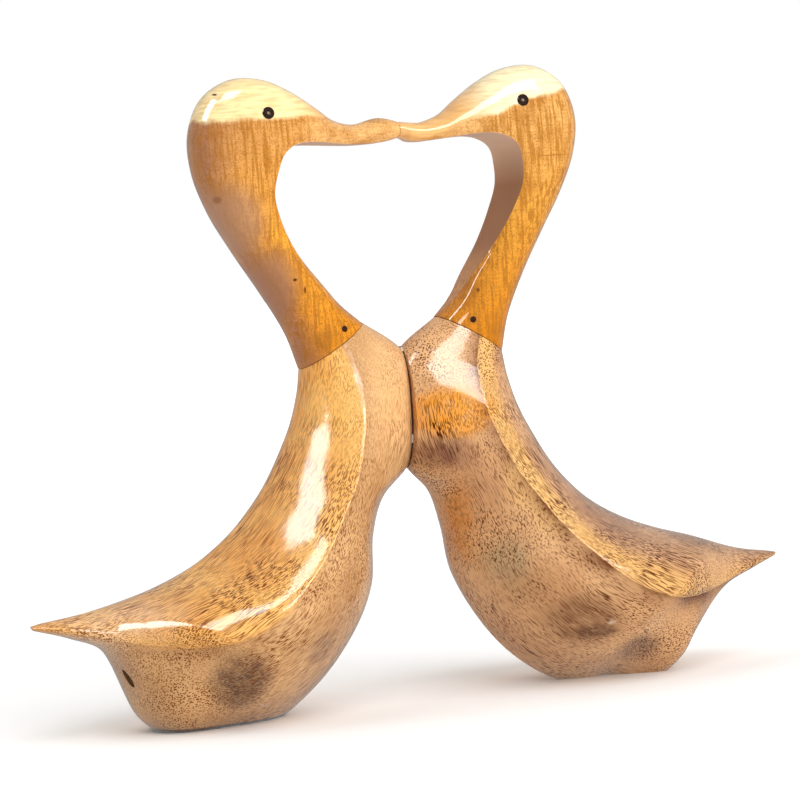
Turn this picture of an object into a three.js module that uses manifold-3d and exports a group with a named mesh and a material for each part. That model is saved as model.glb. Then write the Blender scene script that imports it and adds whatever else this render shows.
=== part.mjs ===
// A pair of kissing duck figurines, carved from bamboo root with glued-on hardwood heads.
// Two near-mirror ducks stand breast to breast and bill to bill, glued where they touch.
// Millimetres, +Z up, floor at z = 0, the pair's meeting plane at x = 0.

import * as THREE from "three";
import { mergeVertices } from "three/addons/utils/BufferGeometryUtils.js";
import Module from "manifold-3d";

const wasm = await Module();
wasm.setup();

const UP = new THREE.Vector3(0, 0, 1);

// Clearance between pieces that touch
const GAP = 0.3;

// How finely the carved forms are faceted
const BODY_STATIONS = 28;
const BODY_SIDES = 36;
const HEAD_STATIONS = 28;
const BACK_STEPS = 9;
const FLANK_STEPS = 2;
const BAND_STEPS = 3;
const ROUND_STEPS = 10;

// Neck joint: an oval saw cut that leans towards the tail
const JOINT_X = 30.3;
const JOINT_Z = 150.1;
const JOINT_TILT = THREE.MathUtils.degToRad(31.9);
const JOINT_HALF_DEPTH = 16.5;
const JOINT_HALF_WIDTH = 14.3;
const JOINT_RUN = JOINT_HALF_DEPTH * Math.cos(JOINT_TILT);
const JOINT_RISE = JOINT_HALF_DEPTH * Math.sin(JOINT_TILT);
const joint = {
  middle: [JOINT_X, JOINT_Z],
  rear: [JOINT_X + JOINT_RUN, JOINT_Z - JOINT_RISE],
  front: [JOINT_X - JOINT_RUN, JOINT_Z + JOINT_RISE],
};

// The glued pair leans to the right duck by under a degree: its soles are sawn on this slope,
// and the whole is then turned to stand on them, with the middle of its length over the origin.
const LEAN = THREE.MathUtils.degToRad(0.9);
const SOLE_RISE = 0.85;
const CENTRE_SHIFT = 0.72;

// Body stations from the neck joint to the tail tip, each [distance from the meeting plane, height]:
// back is the spine line, ridge the sharp wing edge, belly the breast, keel and under-tail line.
// The belly line dips below the floor, where the foot is sawn flat.
// crown and flank are superellipse powers above and below the ridge: 2 is round, 1 straight, less hollow.
const BODY = [
  { back: joint.rear, ridge: joint.middle, width: JOINT_HALF_WIDTH, belly: joint.front, crown: 2, flank: 2 },
  { back: [45.6, 132], ridge: [26.5, 137], width: 19, belly: [1, 148], crown: 2, flank: 2 },
  { back: [49.2, 120], ridge: [26, 122], width: 26.5, belly: [-7, 137], crown: 2, flank: 2 },
  { back: [55.4, 107], ridge: [30, 106.5], width: 32, belly: [-8, 114], crown: 2, flank: 2 },
  { back: [62.6, 95], ridge: [35, 94], width: 36, belly: [-0.5, 97.5], crown: 2, flank: 1.95 },
  { back: [70, 85.5], ridge: [41, 84.5], width: 39, belly: [10, 86], crown: 2, flank: 1.9 },
  { back: [80.5, 75.2], ridge: [48.5, 73], width: 43, belly: [15, 71], crown: 1.95, flank: 1.85 },
  { back: [95.4, 64.8], ridge: [60, 59.5], width: 48.5, belly: [18.6, 50], crown: 1.9, flank: 1.7 },
  { back: [111.5, 57.2], ridge: [76.5, 45], width: 53.5, belly: [33.6, 23], crown: 1.8, flank: 1.5 },
  { back: [125, 53.4], ridge: [93, 37.5], width: 52, belly: [71, -22], crown: 1.7, flank: 1.15 },
  { back: [135.5, 51.2], ridge: [107, 35.5], width: 42, belly: [104, -22], crown: 1.7, flank: 1.2 },
  { back: [145, 49.5], ridge: [121, 36.5], width: 31, belly: [122.5, 5], crown: 1.6, flank: 1.6 },
  { back: [153, 48.4], ridge: [136, 39.5], width: 21, belly: [135, 33], crown: 1.6, flank: 1.6 },
  { back: [160, 47.6], ridge: [151, 43], width: 12, belly: [150, 40.3], crown: 1.7, flank: 1.7 },
  { back: [165.3, 46.6], ridge: [164.6, 45.8], width: 2.5, belly: [164.2, 44.8], crown: 2, flank: 2 },
];

// Head stations from the neck joint to the bill tip, each [distance from the meeting plane, height]:
// outer is the nape, crown and bill top, inner the flat band inside the neck and under the bill.
// band is the flat's share of the width there, and nape the superellipse power of the rounded outside.
const HEAD = [
  { outer: joint.rear, inner: joint.front, width: JOINT_HALF_WIDTH, band: 0.05, nape: 2 },
  { outer: [48.6, 156.5], inner: [25.2, 166.4], width: 14.2, band: 0.3, nape: 2 },
  { outer: [57, 173.5], inner: [33.6, 176.2], width: 14.5, band: 0.56, nape: 2.1 },
  { outer: [67.8, 192], inner: [44, 189.5], width: 15.4, band: 0.78, nape: 2.2 },
  { outer: [77.4, 209], inner: [51, 202.5], width: 16.6, band: 0.92, nape: 2.3 },
  { outer: [83.4, 225], inner: [54.2, 213.5], width: 17.4, band: 0.96, nape: 2.4 },
  { outer: [84.4, 240], inner: [52.6, 222.6], width: 17.8, band: 0.96, nape: 2.5 },
  { outer: [78.6, 254], inner: [49.6, 229.4], width: 17.8, band: 0.95, nape: 2.5 },
  { outer: [66.6, 261.4], inner: [45, 232.8], width: 17.4, band: 0.94, nape: 2.5 },
  { outer: [53.8, 261], inner: [39.8, 233.8], width: 16.4, band: 0.92, nape: 2.4 },
  { outer: [42.3, 256], inner: [34, 233.7], width: 14.6, band: 0.9, nape: 2.2 },
  { outer: [32.2, 249.2], inner: [27.6, 233.2], width: 12, band: 0.86, nape: 2.1 },
  { outer: [23.8, 243], inner: [21, 232.6], width: 9.6, band: 0.8, nape: 2 },
  { outer: [15.2, 240.7], inner: [14.2, 232.2], width: 7.8, band: 0.7, nape: 2 },
  { outer: [6.5, 242.8], inner: [6.5, 232.6], width: 6.8, band: 0.5, nape: 2 },
  { outer: [0.7, 241], inner: [0.7, 234.2], width: 5, band: 0.3, nape: 2 },
];

// How each hand-carved duck departs from the shared lines. Each departure is a length in mm,
// blended in over the stations round a centre given as a share of the way along the stations.
const DEPARTURES = {
  nape: { centre: 0.2, spread: 0.14 },
  crown: { centre: 0.4, spread: 0.12 },
  rump: { centre: 0.6, spread: 0.16 },
  keel: { centre: 0.43, spread: 0.12 },
  toe: { centre: 0.64, spread: 0.07 },
  curl: { centre: 0.66, spread: 0.055 },
  heel: { centre: 0.79, spread: 0.07 },
  throat: { centre: 0.45, spread: 0.08 },
};
const LEFT = {
  name: "left", side: -1, nape: 2.2, crown: 0, throat: 0, rump: 0, keel: -3.6, toe: 2, curl: 7.5,
  heel: 0.8,
};
const RIGHT = {
  name: "right", side: 1, nape: -2.4, crown: -0.6, throat: 1.8, rump: 4.6, keel: 1.6, toe: -4, curl: 20,
  heel: -11,
};

// The breasts are ground flat and the bill tips meet at the meeting plane
const MEETING_OFFSET = GAP / 2;

// Eye: a dark ring let into the head round a core of the head's own wood, on both cheeks
const EYE_X = 55.6;
const EYE_Z = 246.4;
const EYE_RADIUS = 2.5;
const EYE_CORE_RADIUS = 1.15;
const EYE_CORE_SHIFT = 0.25;
const EYE_DEPTH = 3;
const EYE_PROUD = 0.35;
const EYE_CHEEK = 16.6;

// Neck peg: a short dowel end seen on the near side just above the joint
const PEG_X = 28.2;
const PEG_Z = 156.8;
const PEG_SIDE = 14.0;
const PEG_RADIUS = 1.35;
const PEG_LENGTH = 8;
const PEG_PROUD = 0.3;
const PEG_TURN = THREE.MathUtils.degToRad(16);

// Knot hole: a lens-shaped hollow in the left duck's foot, under the tail
const KNOT = { x: 124.5, side: -9, z: 22, halfLength: 4.6, halfWidth: 1.7, depth: 9 };
const KNOT_LEAN = THREE.MathUtils.degToRad(35);

// Materials from the real pieces
const BAMBOO = new THREE.MeshStandardMaterial({ color: 0xb57a3c, roughness: 0.28, metalness: 0 });
const HARDWOOD = new THREE.MeshStandardMaterial({ color: 0xd7a35e, roughness: 0.25, metalness: 0 });
const HORN = new THREE.MeshStandardMaterial({ color: 0x24130c, roughness: 0.2, metalness: 0 });
const PEG_WOOD = new THREE.MeshStandardMaterial({ color: 0x4a2a18, roughness: 0.4, metalness: 0 });

// A smooth line through one [distance, height] field of the stations
function rail(stations, field) {
  const points = stations.map((s) => new THREE.Vector3(s[field][0], 0, s[field][1]));
  return new THREE.CatmullRomCurve3(points, false, "centripetal");
}

// A smooth line through one number of the stations
function measure(stations, field) {
  const curve = new THREE.SplineCurve(stations.map((s, i) => new THREE.Vector2(i, s[field])));
  return (t) => curve.getPoint(t).y;
}

// One of the duck's own departures at a station, fading to nothing either side of its centre
function departure(duck, kind, t) {
  const { centre, spread } = DEPARTURES[kind];
  return duck[kind] * Math.exp(-(((t - centre) / spread) ** 2));
}

function superPoint(angle, power) {
  const across = Math.cos(angle);
  const up = Math.abs(Math.sin(angle));
  return {
    across: Math.sign(across) * Math.abs(across) ** (2 / power),
    rise: up ** (2 / power),
  };
}

// One ring of a body: round over the back from ridge to ridge, then under the belly
function bodyRing(lines, duck, t) {
  const ridge = lines.ridge.getPoint(t);
  const back = lines.back.getPoint(t);
  const belly = lines.belly.getPoint(t);
  belly.x += departure(duck, "toe", t) + departure(duck, "heel", t) - departure(duck, "keel", t);
  belly.z += departure(duck, "curl", t);
  back.z += departure(duck, "rump", t);
  const width = lines.width(t);
  const ring = [];
  for (let i = 0; i < BODY_SIDES; i += 1) {
    const angle = (i / BODY_SIDES) * 2 * Math.PI;
    const above = i <= BODY_SIDES / 2;
    const power = above ? lines.crown(t) : lines.flank(t);
    const { across, rise } = superPoint(angle, power);
    const point = ridge.clone().lerp(above ? back : belly, rise);
    point.y = width * across;
    ring.push(point);
  }
  return ring;
}

// One ring of a head: a rounded nape, then short rounded flanks and a flat inner band
function headRing(lines, duck, t) {
  const outer = lines.outer.getPoint(t);
  const inner = lines.inner.getPoint(t);
  outer.x += departure(duck, "nape", t) + departure(duck, "crown", t);
  inner.x += departure(duck, "nape", t) + departure(duck, "throat", t);
  const width = lines.width(t);
  const nape = lines.nape(t);
  const band = lines.band(t);
  const bandRise = Math.sqrt(1 - band * band);
  const middle = inner.clone().lerp(outer, 0.5 * bandRise);
  const ring = [];
  for (let i = 0; i < 2 * BACK_STEPS; i += 1) {
    const { across, rise } = superPoint((i / (2 * BACK_STEPS)) * Math.PI, nape);
    const point = middle.clone().lerp(outer, rise);
    point.y = width * across;
    ring.push(point);
  }
  const bandAngle = Math.acos(band);
  const flank = [];
  for (let i = 0; i <= FLANK_STEPS; i += 1) {
    const angle = (i / FLANK_STEPS) * bandAngle;
    flank.push([Math.cos(angle), Math.sin(angle) / bandRise]);
  }
  const under = flank.map(([across, sink]) => [-across, sink]);
  for (let i = 1; i < BAND_STEPS; i += 1) {
    under.push([-band + (2 * band * i) / BAND_STEPS, 1]);
  }
  for (let i = FLANK_STEPS; i > 0; i -= 1) {
    under.push(flank[i]);
  }
  for (const [across, sink] of under) {
    const point = middle.clone().lerp(inner, sink);
    point.y = width * across;
    ring.push(point);
  }
  return ring;
}

// A closed shell through rings of points, with a fan over each end. The duck's side mirrors it.
// The rings run from the neck end to the tail end, so a head's rings come bill first.
function loft(rings, side) {
  const sides = rings[0].length;
  const positions = [];
  for (const ring of rings) {
    for (const point of ring) {
      positions.push(side * point.x, point.y, point.z);
    }
  }
  const index = [];
  const face = (a, b, c) => (side > 0 ? index.push(a, b, c) : index.push(a, c, b));
  for (let r = 0; r < rings.length - 1; r += 1) {
    for (let i = 0; i < sides; i += 1) {
      const next = (i + 1) % sides;
      const a = r * sides + i;
      const b = r * sides + next;
      const c = a + sides;
      const d = b + sides;
      face(a, b, d);
      face(a, d, c);
    }
  }
  for (const r of [0, rings.length - 1]) {
    const centre = new THREE.Vector3();
    rings[r].forEach((point) => centre.add(point));
    centre.divideScalar(sides);
    const hub = positions.length / 3;
    positions.push(side * centre.x, centre.y, centre.z);
    for (let i = 0; i < sides; i += 1) {
      const a = r * sides + i;
      const b = r * sides + ((i + 1) % sides);
      if (r === 0) {
        face(b, a, hub);
      } else {
        face(a, b, hub);
      }
    }
  }
  const geometry = new THREE.BufferGeometry();
  geometry.setAttribute("position", new THREE.Float32BufferAttribute(positions, 3));
  geometry.setIndex(index);
  return geometry;
}

function toSolid(geometry) {
  const bare = geometry.clone();
  bare.deleteAttribute("normal");
  bare.deleteAttribute("uv");
  const merged = mergeVertices(bare, 1e-4);
  return new wasm.Manifold(new wasm.Mesh({
    numProp: 3,
    vertProperties: new Float32Array(merged.attributes.position.array),
    triVerts: new Uint32Array(merged.index.array),
  }));
}

function toGeometry(solid) {
  const { vertProperties, triVerts } = solid.getMesh();
  const geometry = new THREE.BufferGeometry();
  geometry.setAttribute("position", new THREE.BufferAttribute(new Float32Array(vertProperties), 3));
  geometry.setIndex(new THREE.BufferAttribute(new Uint32Array(triVerts), 1));
  return geometry;
}

// A big block whose near face is the plane through a point, and which fills the side of its normal
function halfSpace(point, normal) {
  const size = 800;
  const block = new THREE.BoxGeometry(size, size, size);
  block.translate(0, 0, size / 2);
  block.applyQuaternion(new THREE.Quaternion().setFromUnitVectors(UP, normal.clone().normalize()));
  block.translate(point.x, point.y, point.z);
  return toSolid(block);
}

// A straight prism of an outline, along a direction, starting at a point
function prism(shape, length, start, direction) {
  const settings = { depth: length, bevelEnabled: false, curveSegments: ROUND_STEPS };
  const geometry = new THREE.ExtrudeGeometry(shape, settings);
  geometry.applyQuaternion(new THREE.Quaternion().setFromUnitVectors(UP, direction.clone().normalize()));
  geometry.translate(start.x, start.y, start.z);
  return geometry;
}

function circle(radius) {
  const shape = new THREE.Shape();
  shape.absellipse(0, 0, radius, radius, 0, 2 * Math.PI);
  return shape;
}

function ringShape(outerRadius, innerRadius, shift) {
  const shape = circle(outerRadius);
  const hole = new THREE.Path();
  hole.absellipse(shift, 0, innerRadius, innerRadius, 0, 2 * Math.PI, true);
  shape.holes.push(hole);
  return shape;
}

// A spindle-shaped knot hole, sunk from outside the foot
function knotCutter(side) {
  const lens = new THREE.Shape();
  lens.absellipse(0, 0, KNOT.halfWidth, KNOT.halfLength, 0, 2 * Math.PI);
  const inward = new THREE.Vector3(-side * Math.cos(KNOT_LEAN), Math.sin(KNOT_LEAN), 0);
  const start = new THREE.Vector3(side * KNOT.x, KNOT.side, KNOT.z).addScaledVector(inward, -KNOT.depth);
  return toSolid(prism(lens, 2 * KNOT.depth, start, inward));
}

function bodySolid(duck) {
  const { side } = duck;
  const lines = {
    back: rail(BODY, "back"),
    ridge: rail(BODY, "ridge"),
    belly: rail(BODY, "belly"),
    width: measure(BODY, "width"),
    crown: measure(BODY, "crown"),
    flank: measure(BODY, "flank"),
  };
  const rings = [];
  for (let i = 0; i <= BODY_STATIONS; i += 1) {
    rings.push(bodyRing(lines, duck, i / BODY_STATIONS));
  }
  let solid = toSolid(loft(rings, side));
  const downward = new THREE.Vector3(Math.sin(LEAN), 0, -Math.cos(LEAN));
  solid = solid.subtract(halfSpace(new THREE.Vector3(0, 0, SOLE_RISE), downward));
  const meeting = new THREE.Vector3(side * MEETING_OFFSET, 0, 0);
  solid = solid.subtract(halfSpace(meeting, new THREE.Vector3(-side, 0, 0)));
  if (duck === LEFT) {
    solid = solid.subtract(knotCutter(side));
  }
  return solid;
}

function eyePlace(duck, cheek, outward) {
  return new THREE.Vector3(duck.side * EYE_X, cheek * (EYE_CHEEK + outward), EYE_Z);
}

// The ring, or with a margin the groove that it sits in
function eyeRing(duck, cheek, margin) {
  const shape = ringShape(EYE_RADIUS + margin, EYE_CORE_RADIUS - margin, EYE_CORE_SHIFT);
  const start = eyePlace(duck, cheek, margin > 0 ? 2 * EYE_PROUD : EYE_PROUD);
  const length = EYE_DEPTH + EYE_PROUD + (margin > 0 ? EYE_PROUD + margin : 0);
  return prism(shape, length, start, new THREE.Vector3(0, -cheek, 0));
}

// The peg, or with a margin the hole that it sits in
function peg(duck, margin) {
  const { side } = duck;
  const outward = new THREE.Vector3(-side * Math.sin(PEG_TURN), -Math.cos(PEG_TURN), 0);
  const start = new THREE.Vector3(side * PEG_X, -PEG_SIDE, PEG_Z).addScaledVector(outward, PEG_PROUD);
  const inward = outward.clone().negate();
  if (margin > 0) {
    start.addScaledVector(outward, PEG_LENGTH);
    return prism(circle(PEG_RADIUS + margin), 2 * PEG_LENGTH + margin, start, inward);
  }
  return prism(circle(PEG_RADIUS), PEG_LENGTH, start, inward);
}

function headSolid(duck) {
  const { side } = duck;
  const lines = {
    outer: rail(HEAD, "outer"),
    inner: rail(HEAD, "inner"),
    width: measure(HEAD, "width"),
    band: measure(HEAD, "band"),
    nape: measure(HEAD, "nape"),
  };
  const rings = [];
  for (let i = 0; i <= HEAD_STATIONS; i += 1) {
    rings.push(headRing(lines, duck, i / HEAD_STATIONS));
  }
  rings.reverse();
  let solid = toSolid(loft(rings, side));
  const up = new THREE.Vector3(side * Math.sin(JOINT_TILT), 0, Math.cos(JOINT_TILT));
  const seat = new THREE.Vector3(side * JOINT_X, 0, JOINT_Z).addScaledVector(up, GAP);
  solid = solid.subtract(halfSpace(seat, up.clone().negate()));
  for (const cheek of [-1, 1]) {
    solid = solid.subtract(toSolid(eyeRing(duck, cheek, GAP)));
  }
  return solid.subtract(toSolid(peg(duck, GAP)));
}

// Adds a piece, turned to stand with the pair on its sawn soles
function addMesh(group, name, geometry, material) {
  geometry.translate(0, 0, -SOLE_RISE);
  geometry.rotateY(LEAN);
  geometry.translate(-CENTRE_SHIFT, 0, 0);
  geometry.computeVertexNormals();
  const mesh = new THREE.Mesh(geometry, material);
  mesh.name = name;
  group.add(mesh);
}

function duckGroup(duck) {
  const { name } = duck;
  const group = new THREE.Group();
  addMesh(group, `${name}_body`, toGeometry(bodySolid(duck)), BAMBOO);
  addMesh(group, `${name}_head`, toGeometry(headSolid(duck)), HARDWOOD);
  addMesh(group, `${name}_eye_near`, eyeRing(duck, -1, 0), HORN);
  addMesh(group, `${name}_eye_far`, eyeRing(duck, 1, 0), HORN);
  addMesh(group, `${name}_neck_peg`, peg(duck, 0), PEG_WOOD);
  return group;
}

const pair = new THREE.Group();
pair.add(duckGroup(LEFT));
pair.add(duckGroup(RIGHT));

export default pair;
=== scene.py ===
# A pair of kissing duck figurines: bamboo-root bodies, hardwood heads, glued breast to breast.

import math

import bpy
from mathutils import Matrix, Vector


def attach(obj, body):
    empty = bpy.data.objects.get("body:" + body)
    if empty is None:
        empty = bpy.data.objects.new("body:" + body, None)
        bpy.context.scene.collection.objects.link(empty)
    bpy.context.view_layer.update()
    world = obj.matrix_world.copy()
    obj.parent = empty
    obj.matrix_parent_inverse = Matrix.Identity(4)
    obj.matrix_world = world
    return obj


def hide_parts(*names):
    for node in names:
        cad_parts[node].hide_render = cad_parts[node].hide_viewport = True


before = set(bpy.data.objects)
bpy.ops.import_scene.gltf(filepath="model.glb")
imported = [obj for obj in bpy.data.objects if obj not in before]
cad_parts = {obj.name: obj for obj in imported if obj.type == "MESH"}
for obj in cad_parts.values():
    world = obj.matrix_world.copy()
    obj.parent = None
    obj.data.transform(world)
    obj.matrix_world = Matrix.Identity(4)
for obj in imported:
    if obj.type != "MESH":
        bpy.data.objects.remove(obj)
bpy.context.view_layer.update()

MM = 0.001


# Camera
# A long lens at about the height of the necks, a little to the left of square on.
# The photograph leans by almost five degrees, so the camera is rolled. Lengths are in mm.

CAMERA_TURN = math.radians(-19.46)
CAMERA_PITCH = math.radians(2.45)
CAMERA_ROLL = math.radians(-4.77)
CAMERA_DISTANCE = 1419 * MM
CAMERA_TARGET = Vector((-0.42, 0, 124.49)) * MM
SENSOR_WIDTH = 36
LENS = 153.3
FARTHEST_SEEN = 20000 * MM

back = Vector((
    math.sin(CAMERA_TURN) * math.cos(CAMERA_PITCH),
    -math.cos(CAMERA_TURN) * math.cos(CAMERA_PITCH),
    math.sin(CAMERA_PITCH),
))
level = Vector((math.cos(CAMERA_TURN), math.sin(CAMERA_TURN), 0))
upright = back.cross(level)
right = level * math.cos(CAMERA_ROLL) + upright * math.sin(CAMERA_ROLL)
upward = upright * math.cos(CAMERA_ROLL) - level * math.sin(CAMERA_ROLL)
turn = Matrix((right, upward, back)).transposed().to_4x4()

camera_data = bpy.data.cameras.new("camera")
camera_data.lens = LENS
camera_data.sensor_width = SENSOR_WIDTH
camera_data.clip_end = FARTHEST_SEEN
camera = bpy.data.objects.new("camera", camera_data)
camera.matrix_world = Matrix.Translation(CAMERA_TARGET + back * CAMERA_DISTANCE) @ turn
bpy.context.collection.objects.link(camera)
bpy.context.scene.camera = camera


# Bodies
# Each is one piece of bamboo root, sawn, carved and sanded to a breast, a back that fans out to
# a sharp wing edge, and a short foot sawn flat. It is sealed with a thick clear gloss lacquer.

LEFT = -1
RIGHT = 1
HALF_GLUE_LINE = 0.15
BODY_COLUMNS = 220
BODY_SIDES = 192
HARD_EDGE = math.radians(38)

# Points of a form this close, in metres, are welded; stations count as at least this far apart
WELD_WITHIN = 1e-6
SMALLEST_GAP = 1e-4

# The oval saw cut between body and neck, which leans towards the tail
JOINT_X = 30.3
JOINT_Z = 150.1
JOINT_TILT = math.radians(31.9)
JOINT_HALF_DEPTH = 16.5
JOINT_HALF_WIDTH = 14.3
JOINT_RUN = JOINT_HALF_DEPTH * math.cos(JOINT_TILT)
JOINT_RISE = JOINT_HALF_DEPTH * math.sin(JOINT_TILT)
JOINT_REAR = (JOINT_X + JOINT_RUN, JOINT_Z - JOINT_RISE)
JOINT_FRONT = (JOINT_X - JOINT_RUN, JOINT_Z + JOINT_RISE)

# From the neck joint to the tail tip, in mm from the meeting plane and above the floor:
# spine, wing edge, half width, belly line, and the roundness above and below the wing edge
BODY_STATIONS = (
    (JOINT_REAR, (JOINT_X, JOINT_Z), JOINT_HALF_WIDTH, JOINT_FRONT, 2.0, 2.0),
    ((45.6, 132), (26.5, 137), 19, (1, 148), 2.0, 2.0),
    ((49.2, 120), (26, 122), 26.5, (-7, 137), 1.75, 1.9),
    ((55.4, 107), (30, 106.5), 32, (-8, 114), 1.65, 1.85),
    ((62.6, 95), (35, 94), 36, (-0.5, 97.5), 1.55, 1.75),
    ((70, 85.5), (41, 84.5), 39, (10, 86), 1.5, 1.7),
    ((80.5, 75.2), (48.5, 73), 43, (15, 71), 1.4, 1.65),
    ((95.4, 64.8), (60, 59.5), 48.5, (18.6, 50), 1.4, 1.65),
    ((111.5, 57.2), (76.5, 45), 53.5, (33.6, 23), 1.65, 1.5),
    ((125, 53.4), (93, 37.5), 52, (71, -22), 1.65, 1.15),
    ((135.5, 51.2), (107, 35.5), 42, (104, -22), 1.6, 1.2),
    ((145, 49.5), (121, 36.5), 31, (122.5, 5), 1.5, 1.6),
    ((153, 48.4), (136, 39.5), 21, (135, 33), 1.6, 1.6),
    ((160, 47.6), (151, 43), 12, (150, 40.3), 1.7, 1.7),
    ((165.3, 46.6), (164.6, 45.8), 2.5, (164.2, 44.8), 2.0, 2.0),
)

# How each hand-carved duck departs from the shared lines: at what share of the way along the head
# or the body, over what spread, and by how many mm. The breast's are changes of its roundness.
# Nape, crown, throat, reach and hump belong to the head, the others to the body.
DEPARTURES = {
    "nape": (0.2, 0.14, {LEFT: 2.2, RIGHT: -2.4}),
    "crown": (0.4, 0.12, {LEFT: 0, RIGHT: -0.6}),
    "throat": (0.45, 0.08, {LEFT: 0, RIGHT: 1.8}),
    "rump": (0.6, 0.16, {LEFT: 0, RIGHT: 4.6}),
    "keel": (0.43, 0.12, {LEFT: -3.6, RIGHT: 1.6}),
    "toe": (0.64, 0.07, {LEFT: 2, RIGHT: -4}),
    "curl": (0.66, 0.055, {LEFT: 7.5, RIGHT: 20}),
    "heel": (0.79, 0.07, {LEFT: 0.8, RIGHT: -11}),
    "breast": (0.2, 0.18, {LEFT: -0.75, RIGHT: -0.4}),
    "reach": (1.0, 0.09, {LEFT: -5.5, RIGHT: 4.3}),
    "hump": (0.93, 0.05, {LEFT: 0, RIGHT: -2.4}),
}

# How far sanding has softened the wing edge, as a share of the way round: more by the neck
WING_EDGE_SOFT = 0.001
NECK_SOFT = 0.009
NECK_SOFT_FADE = 0.2
SOFT_STEPS = 3

# The foot is sanded round to its sawn rim, furthest at the breast end: where its middle is, and
# by how much and from what height it draws in at the rear and at the breast
FOOT_MIDDLE = {LEFT: -87.5, RIGHT: 82.3}
FOOT_INSET = (3.6, 7.6)
FOOT_ROUND_FROM = (9, 24)

# The glued pair leans to the right duck by under a degree. The ducks are carved upright, and each
# piece is then turned to stand on the soles, sawn on this slope.
LEAN = math.radians(0.9)
SOLE_RISE = 0.85
CENTRE_SHIFT = 0.72
STANDING = (
    Matrix.Translation((-CENTRE_SHIFT * MM, 0, 0))
    @ Matrix.Rotation(LEAN, 4, "Y")
    @ Matrix.Translation((0, 0, -SOLE_RISE * MM))
)


def departure(kind, side, share):
    """How far a duck is off the shared line here, as a smooth swell along it."""
    centre, spread, amounts = DEPARTURES[kind]
    return amounts[side] * math.exp(-(((share - centre) / spread) ** 2))


def smooth_through(points, share):
    """A smooth line through points, evenly spaced in their order; tighter where they are closer."""
    place = share * (len(points) - 1)
    index = min(int(place), len(points) - 2)
    local = place - index
    start, end = points[index], points[index + 1]
    before = points[index - 1] if index > 0 else start * 2 - end
    after = points[index + 2] if index + 2 < len(points) else end * 2 - start
    spans = ((before, start), (start, end), (end, after))
    gaps = [max((b - a).length ** 0.5, SMALLEST_GAP) for a, b in spans]
    leave = (start - before) / gaps[0] - (end - before) / (gaps[0] + gaps[1]) + (end - start) / gaps[1]
    arrive = (end - start) / gaps[1] - (after - start) / (gaps[1] + gaps[2]) + (after - end) / gaps[2]
    leave *= gaps[1]
    arrive *= gaps[1]
    square, cube = local ** 2, local ** 3
    return (
        start * (2 * cube - 3 * square + 1)
        + leave * (cube - 2 * square + local)
        + end * (3 * square - 2 * cube)
        + arrive * (cube - square)
    )


def station_line(stations, field):
    """One field of the stations as points: places as they are, plain numbers against their order."""
    column = [row[field] for row in stations]
    if isinstance(column[0], tuple):
        return [Vector((x, 0, z)) for x, z in column]
    return [Vector((order, value, 0)) for order, value in enumerate(column)]


def power_round(angle, power):
    """A point on a rounded outline: an oval at power 2, pinched below it and boxy above it."""
    across = math.copysign(abs(math.cos(angle)) ** (2 / power), math.cos(angle))
    rise = abs(math.sin(angle)) ** (2 / power)
    return across, rise


def wrapped_sheet(name, columns, sides, ring_at, side):
    """A grid rolled into a closed carved form: x of the grid runs along it, y runs round it.
    The grid's own UV map stays on it, so a material knows how far along and round a point is."""
    bpy.ops.object.select_all(action="DESELECT")
    bpy.ops.mesh.primitive_grid_add(x_subdivisions=columns, y_subdivisions=sides, size=1)
    piece = bpy.context.object
    piece.name = name
    rings = {}
    for vertex in piece.data.vertices:
        along, around = vertex.co.x + 0.5, vertex.co.y + 0.5
        key = round(along, 5)
        if key not in rings:
            rings[key] = ring_at(along)
        point = rings[key](around)
        vertex.co = STANDING @ (Vector((side * point.x, point.y, point.z)) * MM)
    bpy.ops.object.mode_set(mode="EDIT")
    bpy.ops.mesh.select_all(action="SELECT")
    bpy.ops.mesh.remove_doubles(threshold=WELD_WITHIN)
    bpy.ops.mesh.select_all(action="SELECT")
    bpy.ops.mesh.fill_holes(sides=0)
    bpy.ops.mesh.select_all(action="SELECT")
    bpy.ops.mesh.normals_make_consistent(inside=False)
    bpy.ops.object.mode_set(mode="OBJECT")
    return piece


def saw_flat(piece, point, keep_side):
    """Saw a piece off at a plane of the standing pair, close the cut, and keep one side."""
    bpy.ops.object.mode_set(mode="EDIT")
    bpy.ops.mesh.select_all(action="SELECT")
    bpy.ops.mesh.bisect(plane_co=point, plane_no=keep_side, use_fill=True, clear_inner=True)
    bpy.ops.object.mode_set(mode="OBJECT")


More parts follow.
